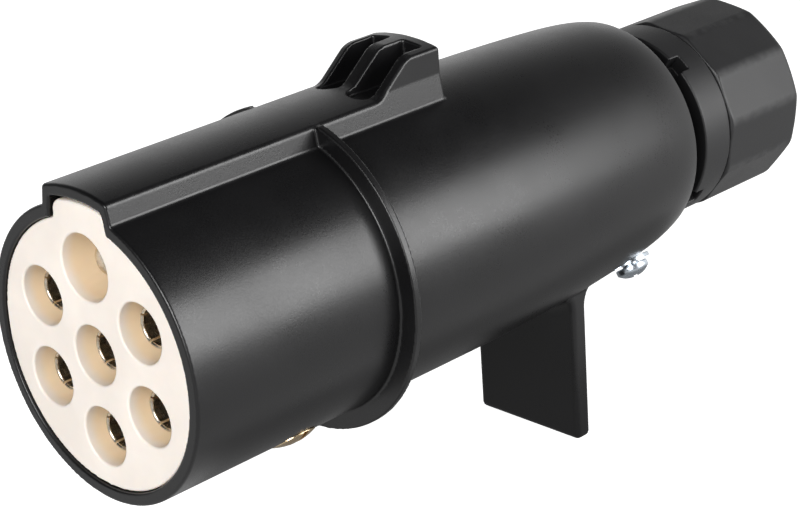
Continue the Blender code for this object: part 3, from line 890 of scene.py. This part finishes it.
def painted_bounce_light(finish):
    """The cream's own colour at the face, and painted bounce light deeper in the holes."""
    depth = finish.node("ShaderNodeSeparateXYZ", {}, {0: place_of(finish)}, output="Y")
    inputs = {"Value": depth, "From Min": INSIDE_FROM, "From Max": INSIDE_TO}
    inside = finish.node("ShaderNodeMapRange", {"interpolation_type": "SMOOTHSTEP"}, inputs)
    plain = finish.shader.inputs["Base Color"].links[0].from_socket
    return mix(finish, inside, Wire(finish, plain), BOUNCE_LIGHT_CREAM)


# The second colour of each plastic is for its edges: wear and painted edge highlight.
housing_black = moulded_plastic("housing_black", colour(0.0048, 0.0047, 0.0051),
                                colour(0.022, 0.022, 0.023), 0.32, 0.26, 0.010)
gland_black = moulded_plastic("gland_black", colour(0.0095, 0.0095, 0.0102),
                              colour(0.035, 0.035, 0.036), 0.46, 0.26, 0.007)
insert_cream = moulded_plastic("insert_cream", colour(0.87, 0.795, 0.725),
                               colour(0.88, 0.82, 0.76), 0.42, 0.35, 0.002)
# Painted bounce light: the cream's colour turns warmer down in the holes.
insert_cream.shade(Base_Color=painted_bounce_light(insert_cream), Subsurface_Weight=0.18,
                   Subsurface_Scale=0.0012, Subsurface_Radius=(1.0, 0.7, 0.45))
print("three plastics")


# %% [markdown]
# Plated metal keeps the marks of the tool below its plating. The nickel on the
# contacts has dulled unevenly, the insert's screws are a warm brass, and the zinc on
# the rear screws has the cold blue cast of its passivation.

# %% Metals
TARNISH_MM, RING_MM = 1.4, 0.9
ALONG_Y = (1.0, 9.0, 1.0)
ALL_WAYS = (3.0, 3.0, 3.0)


def turned_metal(name, bright, dull, roughness, stretch, depth_mm):
    """A plated metal with patches of tarnish and the fine rings of a lathe."""
    finish = Finish(name)
    tarnish = spread(finish, noise(finish, TARNISH_MM, 4.0), 0.38, 0.64)
    rings = noise(finish, RING_MM, 2.0, stretch)
    finish.shade(
        Base_Color=mix(finish, tarnish, bright, dull),
        Metallic=1.0,
        Roughness=roughness + tarnish * 0.10 + (rings - 0.5) * 0.10,
        Normal=bump(finish, rings, depth_mm),
    )
    return finish


contact_nickel = turned_metal("contact_nickel", colour(0.74, 0.68, 0.58), colour(0.52, 0.44, 0.33),
                              0.20, ALONG_Y, 0.004)
plated_brass = turned_metal("plated_brass", colour(0.78, 0.62, 0.40), colour(0.62, 0.46, 0.27),
                            0.24, ALL_WAYS, 0.003)
zinc_plate = turned_metal("zinc_plate", colour(0.70, 0.77, 0.84), colour(0.55, 0.60, 0.66),
                          0.22, ALL_WAYS, 0.003)
plain_steel = turned_metal("plain_steel", colour(0.60, 0.61, 0.63), colour(0.48, 0.48, 0.49),
                           0.28, ALONG_Y, 0.004)
print("four metals")

# %% [markdown]
# The seals are black rubber: duller than the plastic, with pale dust in patches.

# %% Rubber
seal_rubber = Finish("seal_rubber")
dust = spread(seal_rubber, noise(seal_rubber, 3.0, 5.0), 0.45, 0.7)
seal_rubber.shade(
    Base_Color=mix(seal_rubber, dust * 0.5, colour(0.012, 0.012, 0.012),
                   colour(0.035, 0.034, 0.032)),
    Roughness=0.66 + dust * 0.12,
    Normal=bump(seal_rubber, noise(seal_rubber, 0.3, 3.0), 0.01),
)

# %% [markdown]
# Every new piece takes the finish of the slot that it was given. The pieces inside the
# plug that keep their CAD shape take theirs from the slot that the record names.

# %% Give every piece and CAD node its finish
finishes = {"housing_black": housing_black, "gland_black": gland_black,
            "insert_cream": insert_cream, "contact_nickel": contact_nickel,
            "plated_brass": plated_brass, "zinc_plate": zinc_plate,
            "plain_steel": plain_steel, "seal_rubber": seal_rubber}
for piece in pieces.objects:
    piece.data.materials.clear()
    piece.data.materials.append(finishes[piece["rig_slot"]].material)
slots = {row["node"]: row["material_slot"] for row in frame["record"]["subparts"]}
for node, obj in frame["nodes"].items():
    obj.data.materials.clear()
    obj.data.materials.append(finishes[slots[node]].material)

# %% [markdown]
# The plug stands over a white light table. Shiny black shows only what it reflects,
# so what is around it matters more than the lamps. The floor glows for the camera
# alone, because reflections of so bright a plane would wash the black out. A grey
# card under the plug, seen only in reflections, takes the place of the plug's own
# shadow on the table.

# %% Floor and shadow card
FLOOR_SIDE, FLOOR_GLOW = 12.0, 0.9
CARD_WIDTH, CARD_DEPTH, CARD_GLOW = 0.085, 0.125, 0.25
CARD_X, CARD_Y, CARD_LIFT = -0.012, 0.018, 0.0001


def backdrop(name, width, depth, place_at, finish_name, grey, roughness, glow):
    """A level glowing plane, in metres, that isn't part of the plug."""
    mesh = bpy.data.meshes.new(name)
    bm = bmesh.new()
    bmesh.ops.create_grid(bm, x_segments=1, y_segments=1, size=0.5)
    bmesh.ops.scale(bm, vec=(width, depth, 1.0), verts=bm.verts)
    bm.to_mesh(mesh)
    bm.free()
    plane = bpy.data.objects.new(name, mesh)
    bpy.context.scene.collection.objects.link(plane)
    plane.location = place_at
    glowing = Finish(finish_name)
    glowing.shade(Base_Color=colour(grey, grey, grey), Roughness=roughness,
                  Specular_IOR_Level=0.0, Emission_Color=colour(1.0, 1.0, 1.0),
                  Emission_Strength=glow)
    mesh.materials.append(glowing.material)
    return plane


floor = backdrop("floor", FLOOR_SIDE, FLOOR_SIDE, (0.0, 0.0, cad_low.z),
                 "pale_floor", 0.8, 0.9, FLOOR_GLOW)
floor.visible_glossy = False
floor.visible_diffuse = False

card = backdrop("shadow", CARD_WIDTH, CARD_DEPTH, (CARD_X, CARD_Y, cad_low.z + CARD_LIFT),
                "shadow_grey", 0.0, 1.0, CARD_GLOW)
card.visible_camera = False
card.visible_diffuse = False
card.visible_shadow = False
print("floor at", round(cad_low.z / MM, 2))

# %% [markdown]
# The room is the world's light, worked out from the direction alone. Above the
# horizon it is white low down behind the plug, and dark overhead and in front of the
# mating face. Below the horizon the table takes over on every side, a little dimmer
# straight down.

# %% The room's light
world = bpy.data.worlds.new("room")
bpy.context.scene.world = world
world.use_nodes = True
tree = world.node_tree


def world_node(kind, inputs, **settings):
    """A node of the room, and its first output."""
    made = tree.nodes.new(kind)
    for key, value in settings.items():
        setattr(made, key, value)
    for key, value in inputs.items():
        if isinstance(value, bpy.types.NodeSocket):
            tree.links.new(value, made.inputs[key])
        else:
            made.inputs[key].default_value = value
    return made.outputs[0]


def fade(value, start, end, at_start, at_end, **settings):
    """Light that changes from one strength to another along an axis of the room."""
    return world_node("ShaderNodeMapRange", {"Value": value, "From Min": start, "From Max": end,
                                             "To Min": at_start, "To Max": at_end}, **settings)


def combine(operation, a, b):
    return world_node("ShaderNodeMath", {0: a, 1: b}, operation=operation)


direction = tree.nodes.new("ShaderNodeTexCoord").outputs["Generated"]
axes = tree.nodes.new("ShaderNodeSeparateXYZ")
tree.links.new(direction, axes.inputs[0])
depth, height = axes.outputs[1], axes.outputs[2]
overhead = fade(height, 0.18, 0.70, 0.95, 0.03)
behind = fade(depth, -0.35, 0.25, 0.13, 1.0, interpolation_type="SMOOTHSTEP")
table = fade(height, -0.05, -0.30, 0.0, 1.0)
below = fade(height, -0.45, 0.05, 0.65, 1.0)
lit = combine("MULTIPLY", overhead, combine("MAXIMUM", behind, table))
background = tree.nodes["Background"]
tree.links.new(combine("MULTIPLY", lit, below), background.inputs["Strength"])
background.inputs["Color"].default_value = colour(1.0, 1.0, 1.0)
print("room:", len(tree.nodes), "nodes")

# %% [markdown]
# Two soft boxes add to the room: a large one at the plug's side for the long
# highlight on the barrel, and a smaller one in front for the insert's face.

# %% Lamps
def soft_box(name, toward, distance, width, height_m, watts):
    """An area light in a given direction from the plug, facing it."""
    light = bpy.data.lights.new(name, "AREA")
    light.shape = "RECTANGLE"
    light.size = width
    light.size_y = height_m
    light.energy = watts
    lamp = bpy.data.objects.new(name, light)
    bpy.context.scene.collection.objects.link(lamp)
    middle = Vector((0.0, 0.0, AXIS_Z))
    lamp.location = middle + Vector(toward).normalized() * distance
    lamp.rotation_euler = (middle - lamp.location).to_track_quat("-Z", "Y").to_euler()
    print(name, watts, "W")


soft_box("side_box", (0.86, 0.42, 0.29), distance=1.0, width=0.74, height_m=0.62, watts=9.6)
soft_box("front_box", (0.42, -0.80, 0.36), distance=0.9, width=0.5, height_m=0.5, watts=8.1)

# %% [markdown]
# The camera stands in front and to the right, a little above, and only about a third
# of a metre away, so the far end of the plug looks clearly smaller than the near end.
# Its turn is given by two directions, its own right and its own up.

# %% Camera
CAMERA_AT = (239.0, -167.68, 129.23)
camera_data = bpy.data.cameras.new("camera")
camera_data.sensor_width = 36.0
camera_data.lens = 104.11
camera = bpy.data.objects.new("camera", camera_data)
bpy.context.scene.collection.objects.link(camera)
right = Vector((0.70562, 0.70570, -0.06404))
up = Vector((-0.22777, 0.31146, 0.92256))
back = right.cross(up)
turn = Matrix((right, up, back)).transposed().to_4x4()
camera.matrix_world = Matrix.Translation(PLUG @ Vector(CAMERA_AT)) @ turn
bpy.context.scene.camera = camera
print("camera", round((camera.matrix_world.translation - PLUG.translation).length, 3), "m away")
bpy.context.scene.view_settings.view_transform = "Standard"
